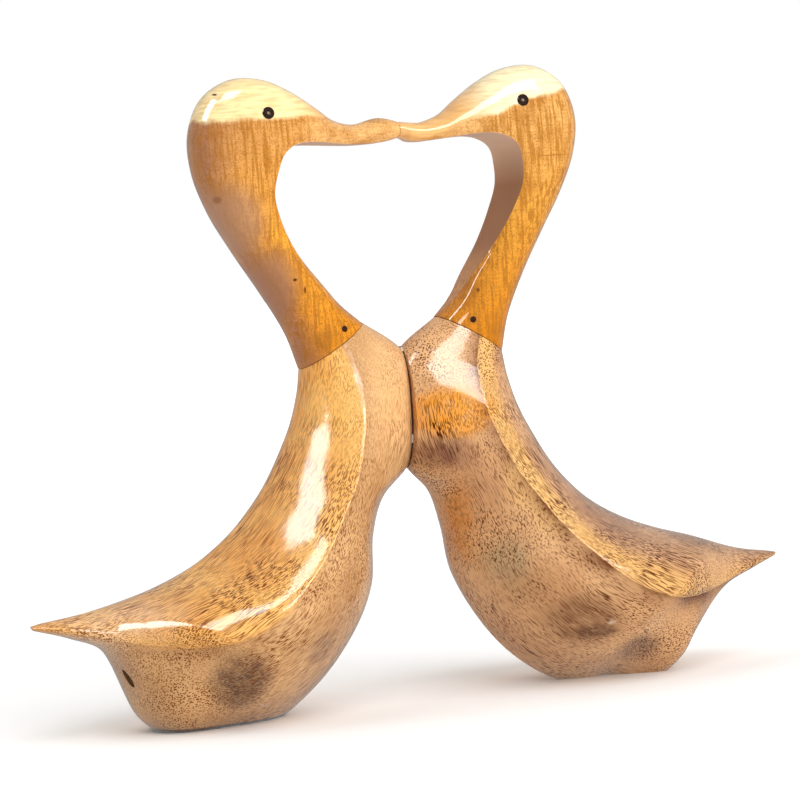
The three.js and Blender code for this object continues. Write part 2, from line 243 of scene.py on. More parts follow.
def duck_body(name, side):
    """One body, carved through its stations, sawn at the sole and at the breast, and sanded."""
    lines = [station_line(BODY_STATIONS, field) for field in range(len(BODY_STATIONS[0]))]

    def ring_at(along):
        spine, edge, width, belly, crown, flank = (smooth_through(line, along) for line in lines)
        belly.x += departure("toe", side, along) + departure("heel", side, along)
        belly.x -= departure("keel", side, along)
        belly.z += departure("curl", side, along)
        spine.z += departure("rump", side, along)

        soften = WING_EDGE_SOFT + NECK_SOFT * math.exp(-((along / NECK_SOFT_FADE) ** 2))
        below = flank.y + departure("breast", side, along)

        def sharp_point(around):
            around %= 1
            above = around <= 0.5
            across, rise = power_round(2 * math.pi * around, crown.y if above else below)
            place = edge.lerp(spine if above else belly, rise)
            place.y = width.y * across
            return place

        def point(around):
            steps = range(-SOFT_STEPS, SOFT_STEPS + 1)
            near = [sharp_point(around + soften * step / SOFT_STEPS) for step in steps]
            return sum(near, Vector()) / len(near)

        return point

    piece = wrapped_sheet(name, BODY_COLUMNS, BODY_SIDES, ring_at, side)
    saw_flat(piece, (0, 0, 0), (0, 0, 1))
    meeting = Vector((side * HALF_GLUE_LINE * MM, 0, 0))
    saw_flat(piece, STANDING @ meeting, STANDING.to_3x3() @ Vector((side, 0, 0)))
    middle = STANDING @ (Vector((FOOT_MIDDLE[side], 0, 0)) * MM)
    for vertex in piece.data.vertices:
        outward = Vector((vertex.co.x - middle.x, vertex.co.y, 0)).normalized()
        breast_end = 0.5 - 0.5 * side * outward.x
        from_height = FOOT_ROUND_FROM[0] + breast_end * (FOOT_ROUND_FROM[1] - FOOT_ROUND_FROM[0])
        inset = FOOT_INSET[0] + breast_end * (FOOT_INSET[1] - FOOT_INSET[0])
        low = max(0, 1 - vertex.co.z / (from_height * MM))
        vertex.co -= outward * inset * MM * low ** 2
    bpy.ops.object.shade_smooth_by_angle(angle=HARD_EDGE)
    return piece


left_body = duck_body("left_carved_body", LEFT)
right_body = duck_body("right_carved_body", RIGHT)


def linear(hex_colour):
    """An sRGB hex colour as the linear RGBA that a socket takes."""
    channels = [int(hex_colour[i:i + 2], 16) / 255 for i in (1, 3, 5)]
    return tuple(c / 12.92 if c <= 0.04045 else ((c + 0.055) / 1.055) ** 2.4 for c in channels) + (1,)


def add_node(tree, kind, settings=None, inputs=None, out=0):
    """Add a node with its settings and its input values or links, and give one of its outputs."""
    made = tree.nodes.new("ShaderNode" + kind)
    for key, value in (settings or {}).items():
        setattr(made, key, value)
    for key, value in (inputs or {}).items():
        if isinstance(value, bpy.types.NodeSocket):
            tree.links.new(value, made.inputs[key])
        else:
            made.inputs[key].default_value = value
    return made.outputs[out]


def product(tree, first, second):
    """One amount times another."""
    return add_node(tree, "Math", {"operation": "MULTIPLY"}, {0: first, 1: second})


def stretched(tree, place, scale):
    """A place scaled along each axis, to draw a pattern out."""
    return add_node(tree, "VectorMath", {"operation": "MULTIPLY"}, {0: place, 1: scale})


def rising(tree, value, start, full, low=0.0, high=1.0, shape="LINEAR"):
    """An amount that goes from low to high as a value goes from start to full."""
    ends = {0: value, 1: start, 2: full, 3: low, 4: high}
    return add_node(tree, "MapRange", {"interpolation_type": shape}, ends)


def mottle(tree, place, size, detail):
    """Cloudy noise with features of a size, in the units of the place."""
    return add_node(tree, "TexNoise", {}, {"Vector": place, "Scale": 1 / size, "Detail": detail})


def blank_material(name):
    """A new material, and its empty node tree."""
    material = bpy.data.materials.new(name)
    material.use_nodes = True
    tree = material.node_tree
    tree.nodes.clear()
    return material, tree


def surface_finish(tree, sockets):
    """Close a material with one shader that has these values and links."""
    shader = add_node(tree, "BsdfPrincipled", {}, sockets, out="BSDF")
    output = tree.nodes.new("ShaderNodeOutputMaterial")
    tree.links.new(shader, output.inputs["Surface"])


def carved_place(tree):
    """Where a point lies in mm, with the ducks upright as they were carved."""
    coords = add_node(tree, "TexCoord", out="Object")
    return add_node(tree, "Mapping", {}, {
        "Vector": coords,
        "Location": (CENTRE_SHIFT, 0, SOLE_RISE),
        "Rotation": (0, -LEAN, 0),
        "Scale": (1 / MM, 1 / MM, 1 / MM),
    })


def stain(tree, place, centre, radii, edge=0.35):
    """A soft-edged patch round a point of the surface, all in mm: 1 inside, 0 outside."""
    offset = add_node(tree, "VectorMath", {"operation": "SUBTRACT"}, {0: place, 1: centre})
    scaled = add_node(tree, "VectorMath", {"operation": "DIVIDE"}, {0: offset, 1: radii})
    size = add_node(tree, "VectorMath", {"operation": "LENGTH"}, {0: scaled}, out="Value")
    return rising(tree, size, 1 + edge, 1 - edge, shape="SMOOTHSTEP")


def tint(tree, base, colour, amount):
    """Lay a colour over another by an amount. A Mix node's sockets 6, 7 and 2 are its colours."""
    return add_node(tree, "Mix", {"data_type": "RGBA"}, {0: amount, 6: base, 7: colour}, out=2)


def crossfade(tree, amount, first, second):
    """The first value where the amount is 0, and the second where it is 1."""
    return add_node(tree, "Mix", {}, {0: amount, 2: first, 3: second})


# The bundles sweep from the neck to the tail in arcs about a point behind the back, this far out
# from the meeting plane and above the floor; the other value makes their turn into a length
SWEEP_CENTRE = 150.0
SWEEP_RADIUS = 125.0

# Sizes in mm of the threads, of the dots' spacing and rims, and of the ground's fine grain
THREAD = (0.46, 10.0)
DASH_WIDTH = 0.44
DOT_SPACING = 0.88
DOT_RIM = (0.34, 0.45)
GRAIN = (0.5, 7.0)

# Heights in mm between which the threads fade at the neck, and painted shade darkens the foot to its rim
NECK_FADE = (95.0, 130.0)
FOOT_CONTACT_SHADE = (1.1, 0.3)

# Where the wing edge lies in the share of the way round a body
WING_EDGE = 0.5


def bamboo_root(name, side, looks):
    """Bamboo root under thick gloss lacquer. The fibre bundles are dark threads in a tan ground:
    long lines where they run in the surface, and dots where they end in it. The eye gets warm,
    finely flecked wood under a deep gloss, with bright highlights lying over its texture."""
    material, tree = blank_material(name)
    place = carved_place(tree)
    surface = add_node(tree, "UVMap")
    around = add_node(tree, "SeparateXYZ", {}, {0: surface}).node.outputs["Y"]

    # A place measured along the bundles: out from their centre, across the body, and round
    axes = add_node(tree, "SeparateXYZ", {}, {0: place}).node
    out_from_meeting = product(tree, axes.outputs["X"], side)
    reach = add_node(tree, "Math", {"operation": "SUBTRACT"}, {0: SWEEP_CENTRE, 1: out_from_meeting})
    drop = add_node(tree, "Math", {"operation": "SUBTRACT"}, {0: SWEEP_CENTRE, 1: axes.outputs["Z"]})
    squared_reach = product(tree, reach, reach)
    squared = add_node(tree, "Math", {"operation": "MULTIPLY_ADD"}, {0: drop, 1: drop, 2: squared_reach})
    radius = add_node(tree, "Math", {"operation": "SQRT"}, {0: squared})
    angle = add_node(tree, "Math", {"operation": "ARCTAN2"}, {0: drop, 1: reach})
    sweep = product(tree, angle, SWEEP_RADIUS)
    flow = add_node(tree, "CombineXYZ", {}, {0: radius, 1: axes.outputs["Y"], 2: sweep})
    wander_noise = mottle(tree, place, 26, 2.0).node.outputs["Color"]
    wander = add_node(tree, "VectorMath", {"operation": "SUBTRACT"}, {0: wander_noise, 1: (0.5, 0.5, 0.5)})
    wander = add_node(tree, "VectorMath", {"operation": "SCALE"}, {0: wander, 3: looks["wander"]})
    flow = add_node(tree, "VectorMath", {"operation": "ADD"}, {0: flow, 1: wander})

    def streaks(across, length, low, high):
        """Dark threads that run with the flow, across mm thick and length mm long: 1 on a thread."""
        drawn_out = stretched(tree, flow, (1 / across, 1 / across, 1 / length))
        return rising(tree, mottle(tree, drawn_out, 1.0, 1.0), low, high)

    lines = streaks(*THREAD, 0.5, 0.54)
    dashes = streaks(DASH_WIDTH, looks["dash"], looks["dash_from"], looks["dash_from"] + 0.05)
    dashes = product(tree, dashes, looks["dash_strength"])
    cells = {"Vector": place, "Scale": 1 / DOT_SPACING, "Randomness": 0.9}
    from_dot = add_node(tree, "TexVoronoi", {}, cells)
    dots = rising(tree, from_dot, DOT_RIM[1], DOT_RIM[0])

    # Above the wing edge the bundles run long and fine, below it they are shorter
    above = rising(tree, around, WING_EDGE + 0.015, WING_EDGE - 0.015)
    fibres = crossfade(tree, above, dashes, lines)
    for centre, radii in looks["dot_zones"]:
        zone = stain(tree, place, centre, radii, 0.25)
        fibres = crossfade(tree, zone, fibres, dots)
    for centre, radii in looks["line_zones"]:
        zone = stain(tree, place, centre, radii, 0.2)
        fibres = crossfade(tree, zone, fibres, lines)
    fade_noise = mottle(tree, flow, 17, 2.0)
    fade = rising(tree, fade_noise, 0.35, 0.6, 0.4, 1.0)
    fibres = product(tree, fibres, fade)

    # The ground: golden on the back, browner below, with slow blotches and fine pale grain
    blotch_noise = mottle(tree, flow, 30, 3.0)
    blotch = rising(tree, blotch_noise, 0.35, 0.68)
    back_ground = tint(tree, linear(looks["back"]), linear(looks["back_deep"]), blotch)
    flank_ground = tint(tree, linear(looks["flank"]), linear(looks["flank_deep"]), blotch)
    ground = tint(tree, flank_ground, back_ground, above)
    # Just above the wing edge lies a honey band: partly paler wood, partly painted highlight where the
    # surface turns up to the light
    by_edge = (WING_EDGE - 0.095, WING_EDGE - 0.045)
    honey = rising(tree, around, *by_edge, high=looks["honey_and_highlight_strength"], shape="SMOOTHSTEP")
    honey = product(tree, honey, above)
    ground = tint(tree, ground, linear(looks["honey"]), honey)
    for colour, centre, radii, edge, strength in looks["patches"]:
        patch = stain(tree, place, centre, radii, edge)
        ragged = mottle(tree, place, 6, 4.0)
        ragged = rising(tree, ragged, 0.3, 0.6, 0.55, 1.0)
        patch = product(tree, patch, ragged)
        patch = product(tree, patch, strength)
        ground = tint(tree, ground, linear(colour), patch)
    grain_width, grain_length = GRAIN
    grain_place = stretched(tree, flow, (1 / grain_width, 1 / grain_width, 1 / grain_length))
    grain_noise = mottle(tree, grain_place, 1.0, 2.0)
    grain = rising(tree, grain_noise, 0.42, 0.75, 0.0, 0.35)
    ground = tint(tree, ground, linear(looks["grain"]), grain)

    # A darker line under the wing edge is painted shade, where the side falls away under its overhang
    painted_shade_under_edge = rising(tree, around, WING_EDGE + 0.055, WING_EDGE + 0.005, high=looks["painted_shade_under_edge"])
    painted_shade_under_edge = product(tree, painted_shade_under_edge, fade)
    below = add_node(tree, "Math", {"operation": "GREATER_THAN"}, {0: around, 1: WING_EDGE})
    painted_shade_under_edge = product(tree, painted_shade_under_edge, below)
    ground = tint(tree, ground, linear(looks["thread"]), painted_shade_under_edge)

    # The threads fade towards the neck, and painted shade turns the foot nearly black where it meets the
    # floor
    by_neck = rising(tree, axes.outputs["Z"], *NECK_FADE, 1.0, looks["neck_threads"])
    fibres = product(tree, fibres, by_neck)
    thread_amount = product(tree, fibres, looks["contrast"])
    colour = tint(tree, ground, linear(looks["thread"]), thread_amount)
    painted_contact_shade = rising(tree, axes.outputs["Z"], *FOOT_CONTACT_SHADE, 0.0, 0.8)
    colour = tint(tree, colour, linear("#2a140a"), painted_contact_shade)

    ripple = mottle(tree, flow, 1.6, 1.0)
    bump = {"Strength": 0.4, "Distance": 0.1 * MM, "Height": ripple}
    relief = add_node(tree, "Bump", {}, bump, out="Normal")
    surface_finish(tree, {
        "Base Color": colour,
        "Roughness": 0.5,
        "IOR": 1.5,
        "Specular IOR Level": 0.05,
        "Coat Weight": 1.0,
        "Coat Roughness": 0.13,
        "Coat IOR": 1.5,
        "Normal": relief,
        "Coat Normal": relief,
    })
    return material


# Each duck's root: its colours and their strengths, how far in mm the threads stray (wander), and
# how long in mm (dash) and how sparse (dash_from) they are below the wing edge.
# Places and radii are in mm on the duck as carved. A patch is a colour, its centre, its radii, how
# soft its rim is, and its strength; a zone is only a centre and radii.
LEFT_LOOKS = {
    "back": "#f2b45c", "back_deep": "#e0943a", "flank": "#d6a774", "flank_deep": "#bb8a5a",
    "grain": "#f6cd92", "thread": "#74380a", "contrast": 1.0, "neck_threads": 0.5,
    "wander": 3.0, "dash": 5.0, "dash_from": 0.52, "dash_strength": 0.95,
    "honey": "#f3c078", "honey_and_highlight_strength": 0.35, "painted_shade_under_edge": 0.3,
    "line_zones": (),
    "dot_zones": (((-114, -30, 16), (26, 32, 22)),),
    "patches": (
        ("#5e4339", (-90, -39, 19), (12.5, 16, 15.5), 0.35, 0.95),
        ("#40302a", (-88, -39, 17), (6, 12, 7), 0.6, 0.7),
        ("#8f6c52", (-55, -35, 29), (7, 12, 7), 0.6, 0.7),
        ("#a1714a", (-40, -39, 58), (7, 12, 9), 0.6, 0.5),
        ("#eebb80", (-8, -22, 122), (14, 14, 30), 0.6, 0.6),
        # Painted sheen: a pale patch over the top of the tail
        ("#ecc39a", (-135, -25, 47), (24, 26, 9), 0.6, 0.7),
        ("#f0d8b8", (-77.6, -26.5, 8), (2.5, 4, 0.6), 0.6, 0.9),
    ),
}
RIGHT_LOOKS = {
    "back": "#d3a070", "back_deep": "#9c6a44", "flank": "#dfae7c", "flank_deep": "#c69264",
    "grain": "#e2b280", "thread": "#5a2608", "contrast": 1.0, "neck_threads": 1.0,
    "wander": 4.0, "dash": 6.5, "dash_from": 0.55, "dash_strength": 1.0,
    "honey": "#e6b268", "honey_and_highlight_strength": 0.75, "painted_shade_under_edge": 0.95,
    "line_zones": (((12, -24, 117), (17, 16, 9)),),
    "dot_zones": (
        ((22, -18, 144), (30, 22, 15)),
        ((8, -18, 91), (12, 16, 10)),
        ((100, -34, 14), (22, 24, 18)),
    ),
    "patches": (
        ("#ec9a2c", (11, -24, 119.5), (19, 16, 10.5), 0.25, 0.95),
        ("#75483a", (5, -22, 102.5), (14, 14, 6.5), 0.6, 1.0),
        ("#c08a62", (20, -28, 90), (14, 16, 9), 0.6, 0.6),
        ("#704832", (59, -38, 30), (14, 16, 12), 0.6, 0.85),
        ("#4e3026", (64, -40, 24), (9, 10, 3), 0.6, 0.7),
        ("#6a4a3c", (87, -28, 15.5), (8, 12, 6), 0.6, 0.9),
        ("#a8906c", (29, -30, 57), (9, 14, 9), 0.6, 0.75),
        ("#a07a54", (35, -30, 47), (9, 12, 7), 0.6, 0.5),
        ("#d88a38", (15, -14, 72), (5, 14, 16), 0.6, 0.8),
        ("#e9b873", (38, -37, 90), (9, 6, 12), 0.6, 0.8),
        ("#e9b873", (50, -41, 76), (10, 6, 10), 0.6, 0.7),
        ("#e6b27a", (125, -32, 46), (30, 20, 8), 0.6, 0.7),
        # Painted light: a paler patch low on the foot stands in for light thrown up from the table
        ("#e2b282", (76, -16, 4), (24, 18, 5), 0.6, 0.8),
        # Painted highlight: a small pale glint low on the flank
        ("#e6d2ba", (69.5, -42, 28.4), (1.5, 4, 1.0), 0.6, 0.6),
    ),
}
left_body.data.materials.append(bamboo_root("lacquered_bamboo_root_left", LEFT, LEFT_LOOKS))
right_body.data.materials.append(bamboo_root("lacquered_bamboo_root_right", RIGHT, RIGHT_LOOKS))

# A knot has fallen out of the rear of the left duck's foot and left a spindle-shaped hole. Inside,
# it is coloured nearly black as painted shade, with brown streaks of bare, rough wood.
KNOT_CENTRE = Vector((-128.6, -10.4, 23.2))
KNOT_RADII = Vector((1.9, 3.4, 4.6))
KNOT_AXIS = Vector((4.4, -5.1, -6.5))

# Nearly black painted shade inside the hole, streaked with the brown of the bare wood
knot_wood_and_painted_shade, knot_tree = blank_material("knot_hole_wood_and_painted_shade")
knot_place = carved_place(knot_tree)
knot_grain = mottle(knot_tree, knot_place, 0.7, 3.0)
surface_finish(knot_tree, {
    "Base Color": tint(knot_tree, linear("#2a1608"), linear("#8a6234"), knot_grain),
    "Roughness": 0.7,
    "Specular IOR Level": 0.2,
})

bpy.ops.object.select_all(action="DESELECT")
bpy.ops.mesh.primitive_uv_sphere_add(
    segments=32, ring_count=20, location=STANDING @ (KNOT_CENTRE * MM),
    rotation=KNOT_AXIS.to_track_quat("Z", "Y").to_euler(),
)
knot_cutter = bpy.context.object
knot_cutter.scale = KNOT_RADII * MM
knot_cutter.data.materials.append(knot_wood_and_painted_shade)
bore = left_body.modifiers.new("knot_hole", "BOOLEAN")
bore.operation = "DIFFERENCE"
bore.object = knot_cutter
bore.material_mode = "TRANSFER"
bpy.ops.object.select_all(action="DESELECT")
bpy.context.view_layer.objects.active = left_body
left_body.select_set(True)
bpy.ops.object.modifier_apply(modifier=bore.name)
bpy.data.objects.remove(knot_cutter)

for piece, node in ((left_body, "left_body"), (right_body, "right_body")):
    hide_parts(node)
    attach(piece, "root")

# A bead of clear glue, gone brown, stands all round the joint between the breasts. It is smooth
# and wet-looking, with a few pale spots painted on it as glints.
BEAD_RADIUS = 0.5
BEAD_PROUD = 0.15
SQUARE_ON = 0.99
meeting_normal = STANDING.to_3x3() @ Vector((1, 0, 0))
seam_face = max(
    (face for face in left_body.data.polygons if face.normal.dot(meeting_normal) > SQUARE_ON),
    key=lambda face: face.area,
)
seam = [left_body.data.vertices[index].co.copy() for index in seam_face.vertices]
seam_centre = sum(seam, Vector()) / len(seam)

bpy.ops.object.select_all(action="DESELECT")
bpy.ops.mesh.primitive_torus_add(
    major_segments=len(seam), minor_segments=10, major_radius=1, minor_radius=BEAD_RADIUS * MM,
)
bead = bpy.context.object
bead.name = "breast_glue_bead"
for vertex in bead.data.vertices:
    turned = math.atan2(vertex.co.y, vertex.co.x) / (2 * math.pi) % 1
    nearest = seam[round(turned * len(seam)) % len(seam)]
    outward = (nearest - seam_centre).normalized()
    from_ring = math.hypot(vertex.co.x, vertex.co.y) - 1
    across_joint = vertex.co.z + HALF_GLUE_LINE * MM
    vertex.co = nearest + outward * (from_ring + BEAD_PROUD * MM) + meeting_normal * across_joint
bpy.ops.object.mode_set(mode="EDIT")
bpy.ops.mesh.select_all(action="SELECT")
bpy.ops.mesh.normals_make_consistent(inside=False)
bpy.ops.object.mode_set(mode="OBJECT")
bpy.ops.object.shade_smooth()

glue, glue_tree = blank_material("clear_glue_gone_brown")
glue_place = carved_place(glue_tree)
# Pale spots painted on the glue as glints
painted_glints = mottle(glue_tree, glue_place, 5, 2.0)
painted_glints = rising(glue_tree, painted_glints, 0.6, 0.64, 0.0, 0.8)
surface_finish(glue_tree, {
    "Base Color": tint(glue_tree, linear("#4a260f"), linear("#efe6d8"), painted_glints),
    "Roughness": 0.3,
    "Coat Weight": 1.0,
    "Coat Roughness": 0.05,
})
bead.data.materials.append(glue)
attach(bead, "root")


# Heads
# Head, neck and bill are one piece of pale hardwood with a cream crown, set on the oval saw cut.
# The outside is rounded, and a flat band runs up inside the neck and under the bill.

HEAD_COLUMNS = 200
HEAD_SIDES = 128
JOINT_GAP = 0.3

# From the neck joint to the bill tip, in mm: nape line, inner band line, half width,
# the flat band's share of the width, and the roundness of the outside
HEAD_STATIONS = (
    (JOINT_REAR, JOINT_FRONT, JOINT_HALF_WIDTH, 0.05, 2.0),
    ((48.6, 156.5), (25.2, 166.4), 14.2, 0.3, 2.0),
    ((57, 173.5), (33.6, 176.2), 14.5, 0.56, 2.1),
    ((67.8, 192), (44, 189.5), 15.4, 0.78, 2.2),
    ((77.4, 209), (51, 202.5), 16.6, 0.92, 2.3),
    ((83.4, 225), (54.2, 213.5), 17.4, 0.96, 2.4),
    ((84.4, 240), (52.6, 222.6), 17.8, 0.96, 2.5),
    ((78.6, 254), (49.6, 229.4), 17.8, 0.95, 2.5),
    ((66.6, 261.4), (45, 232.8), 17.4, 0.94, 2.5),
    ((53.8, 261), (39.8, 233.8), 16.4, 0.92, 2.4),
    ((42.3, 256), (34, 233.7), 14.6, 0.9, 2.2),
    ((32.2, 249.2), (27.6, 233.2), 12, 0.86, 2.1),
    ((23.8, 243), (21, 232.6), 9.6, 0.8, 2.0),
    ((15.2, 240.7), (14.2, 232.2), 7.8, 0.7, 2.0),
    ((6.5, 242.8), (6.5, 232.6), 6.8, 0.5, 2.0),
    ((0.7, 241), (0.7, 234.2), 5, 0.3, 2.0),
)
FLATTEST = 0.98

# The rounded outside takes this share of the way round, and each flank of the rest takes this share
NAPE_SHARE = 0.6
FLANK_SHARE = 0.08
BAND_START = NAPE_SHARE + FLANK_SHARE * (1 - NAPE_SHARE)
BAND_END = 1 - FLANK_SHARE * (1 - NAPE_SHARE)


def duck_head(name, side):
    """One head with its neck and bill, carved through its stations and sawn off at the joint."""
    lines = [station_line(HEAD_STATIONS, field) for field in range(len(HEAD_STATIONS[0]))]

    def ring_at(along):
        nape, inner, width, band, roundness = (smooth_through(line, along) for line in lines)
        nape.x += departure("nape", side, along) + departure("crown", side, along)
        inner.x += departure("nape", side, along) + departure("throat", side, along)
        nape.x += departure("reach", side, along)
        inner.x += departure("reach", side, along)
        nape.z += departure("hump", side, along)
        flat = min(band.y, FLATTEST)
        flat_sink = math.sqrt(1 - flat ** 2)
        middle = inner.lerp(nape, 0.5 * flat_sink)
        edge_angle = math.acos(flat)

        def point(around):
            if around <= NAPE_SHARE:
                across, rise = power_round(math.pi * around / NAPE_SHARE, roundness.y)
                place = middle.lerp(nape, rise)
            else:
                under = (around - NAPE_SHARE) / (1 - NAPE_SHARE)
                from_end = min(under, 1 - under)
                leaning = math.copysign(1, under - 0.5)
                if from_end < FLANK_SHARE:
                    angle = edge_angle * from_end / FLANK_SHARE
                    across, sink = math.cos(angle), math.sin(angle) / flat_sink
                else:
                    across, sink = flat * (0.5 - from_end) / (0.5 - FLANK_SHARE), 1
                across *= leaning
                place = middle.lerp(inner, sink)
            place.y = width.y * across
            return place

        return point

    piece = wrapped_sheet(name, HEAD_COLUMNS, HEAD_SIDES, ring_at, side)
    seat_normal = Vector((side * math.sin(JOINT_TILT), 0, math.cos(JOINT_TILT)))
    seat = Vector((side * JOINT_X, 0, JOINT_Z)) * MM + seat_normal * JOINT_GAP * MM
    saw_flat(piece, STANDING @ seat, STANDING.to_3x3() @ seat_normal)
    bpy.ops.object.shade_smooth_by_angle(angle=HARD_EDGE)
    return piece


left_head = duck_head("left_carved_head", LEFT)
right_head = duck_head("right_carved_head", RIGHT)


# Heights in mm between which the neck's colours run and the flat band sets in and turns paler and
# greyer with a painted highlight, the height where the head begins, and how far out from the meeting plane
# the bill turns pale
NECK_COLOURS = (150.0, 250.0)
BAND_SETS_IN = (172.0, 188.0)
BAND_HIGHLIGHT_HEIGHTS = (212.0, 232.0)
HEAD_FROM = 215.0
BILL_PALES = (46.0, 28.0)


def pale_hardwood(name, side, looks):
    """Pale close-grained hardwood under gloss lacquer: a cream crown over golden heartwood, with
    a rippled figure, fine dark pores, and a duller brown where the outside turns away. The eye
    gets smooth honey-coloured wood under a clear gloss with sharp highlights."""
    material, tree = blank_material(name)
    place = carved_place(tree)
    axes = add_node(tree, "SeparateXYZ", {}, {0: place}).node
    out_from_meeting = product(tree, axes.outputs["X"], side)
    surface = add_node(tree, "UVMap")
    around = add_node(tree, "SeparateXYZ", {}, {0: surface}).node.outputs["Y"]

    wave = mottle(tree, place, 14, 3.0)
    height = add_node(tree, "Math", {"operation": "MULTIPLY_ADD"}, {0: wave, 1: 8.0, 2: axes.outputs["Z"]})
    slope = {0: out_from_meeting, 1: -looks["crown_slope"], 2: height}
    crown_height = add_node(tree, "Math", {"operation": "MULTIPLY_ADD"}, slope)

    # Amber near the joint, golden up the neck, tan below the crown, then cream
    up_the_neck = rising(tree, height, *NECK_COLOURS)
    ramp_node = add_node(tree, "ValToRGB", {}, {0: up_the_neck}).node
    ramp = ramp_node.color_ramp
    ramp.elements[0].position = 0
    ramp.elements[0].color = linear(looks["amber"])
    ramp.elements[1].position = 0.9
    ramp.elements[1].color = linear(looks["tan"])
    golden = ramp.elements.new(0.5)
    golden.color = linear(looks["golden"])
    wood = ramp_node.outputs[0]

    rear = rising(tree, around, looks["rear_start"], looks["rear_full"], 1.0, 0.0, "SMOOTHSTEP")
    rear_cloud = rising(tree, wave, 0.3, 0.6, 0.5, 1.0)
    rear = product(tree, rear, rear_cloud)
    wood = tint(tree, wood, linear(looks["rear"]), rear)

    crown_from = looks["crown_from"]
    crown = rising(tree, crown_height, crown_from, crown_from + 2.5, shape="SMOOTHSTEP")
    wood = tint(tree, wood, linear(looks["cream"]), crown)
    below_crown = add_node(tree, "Math", {"operation": "SUBTRACT"}, {0: 1.0, 1: crown})
    bill = rising(tree, out_from_meeting, *BILL_PALES, shape="SMOOTHSTEP")
    at_head = add_node(tree, "Math", {"operation": "GREATER_THAN"}, {0: axes.outputs["Z"], 1: HEAD_FROM})
    bill = product(tree, bill, at_head)
    wood = tint(tree, wood, linear(looks["bill"]), bill)

    # Rippled figure across the grain, brown clouds, upright streaks off the bill, and fine pores
    ripple = mottle(tree, stretched(tree, place, (0.12, 0.12, 0.9)), 1.0, 3.0)
    ripple = rising(tree, ripple, 0.42, 0.66, 0.0, 0.3)
    wood = tint(tree, wood, linear(looks["figure"]), ripple)
    cloud = rising(tree, mottle(tree, place, 11, 3.0), 0.48, 0.68, 0.0, 0.55)
    cloud = product(tree, cloud, below_crown)
    wood = tint(tree, wood, linear(looks["figure"]), cloud)
    streak = mottle(tree, stretched(tree, place, (0.8, 0.8, 0.05)), 1.0, 2.0)
    streak = rising(tree, streak, 0.45, 0.6, 0.0, 0.75)
    off_bill = add_node(tree, "Math", {"operation": "MULTIPLY_ADD"}, {0: bill, 1: -0.85, 2: 1.0})
    streak = product(tree, streak, off_bill)
    streak = product(tree, streak, below_crown)
    wood = tint(tree, wood, linear(looks["figure"]), streak)
    pore = mottle(tree, stretched(tree, place, (1.6, 1.6, 1.6)), 1.0, 2.0)
    pore = product(tree, rising(tree, pore, 0.5, 0.64, 0.0, 0.5), below_crown)
    wood = tint(tree, wood, linear(looks["pore"]), pore)

    # The flat inner band was cut across the grain and has little lacquer: a dull brown, turned paler and
    # greyer at the top by a painted highlight
    band = add_node(tree, "Math", {"operation": "GREATER_THAN"}, {0: around, 1: BAND_START})
    band_end = add_node(tree, "Math", {"operation": "LESS_THAN"}, {0: around, 1: BAND_END})
    band = product(tree, band, band_end)
    low_band = rising(tree, axes.outputs["Z"], *BAND_SETS_IN)
    band = product(tree, band, low_band)
    band_top_painted_highlight = rising(tree, axes.outputs["Z"], *BAND_HIGHLIGHT_HEIGHTS)
    band_wood_and_highlight = tint(tree, linear("#9c6b46"), linear("#d0ab90"), band_top_painted_highlight)
    wood = tint(tree, wood, band_wood_and_highlight, band)
    for colour, centre, radii, strength in looks["specks"]:
        mark = stain(tree, place, centre, radii, 0.45)
        mark = product(tree, mark, strength)
        wood = tint(tree, wood, linear(colour), mark)
    lacquer = add_node(tree, "Math", {"operation": "MULTIPLY_ADD"}, {0: band, 1: -0.8, 2: 1.0})

    surface_finish(tree, {
        "Base Color": wood,
        "Roughness": 0.5,
        "IOR": 1.5,
        "Specular IOR Level": 0.05,
        "Coat Weight": lacquer,
        "Coat Roughness": 0.06,
        "Coat IOR": 1.5,
    })
    return material


# Each duck's head wood: its colours, the height in mm at which the cream crown begins (crown_from),
# how much that rises for each mm outwards (crown_slope), and between which shares of the way round
# the duller rear ends. A speck is a colour, its centre and radii in mm as carved, and its strength.
LEFT_HEAD_LOOKS = {
    "amber": "#dc881a", "golden": "#e8a03a", "tan": "#d89a54", "cream": "#f9dfa4", "bill": "#ecb674",
    "rear": "#a27058", "figure": "#a96a20", "pore": "#865218", "crown_from": 247.0, "crown_slope": 0.0,
    "rear_start": 0.36, "rear_full": 0.6,
    "specks": (
        ("#a97f62", (-72, -8, 203), (12, 18, 15), 0.7),
        ("#9c6f54", (-58, -8, 175), (10, 18, 16), 0.8),
        ("#5a2c14", (-75, -6.8, 255.3), (0.8, 3, 0.5), 1.0),
        ("#8a5c3c", (-77.8, -9.9, 212.6), (1.6, 4, 1.4), 0.8),
        ("#5a2c10", (-48.5, -14.5, 178.2), (0.8, 3, 0.6), 1.0),
        ("#6e3a12", (-44.5, -14.5, 173.8), (0.5, 3, 1.3), 1.0),
        ("#8f7a62", (-55.6, -16, 246.4), (1.2, 5, 1.2), 1.0),
    ),
}
RIGHT_HEAD_LOOKS = {
    "amber": "#d07c06", "golden": "#e09c3a", "tan": "#e2a85e", "cream": "#fcecbe", "bill": "#ecb674",
    "rear": "#cf9458", "figure": "#a96a20", "pore": "#865218", "crown_from": 232.0, "crown_slope": 0.28,
    "rear_start": 0.3, "rear_full": 0.42,
    "specks": (
        ("#9c6428", (68, -17, 222.8), (8, 5, 0.28), 0.7),
        ("#7a4618", (31.7, -12, 168.8), (0.6, 3, 0.8), 1.0),
        ("#8f7a62", (55.6, -16, 246.4), (1.2, 5, 1.2), 1.0),
    ),
}
left_head.data.materials.append(pale_hardwood("lacquered_hardwood_left", LEFT, LEFT_HEAD_LOOKS))
right_head.data.materials.append(pale_hardwood("lacquered_hardwood_right", RIGHT, RIGHT_HEAD_LOOKS))
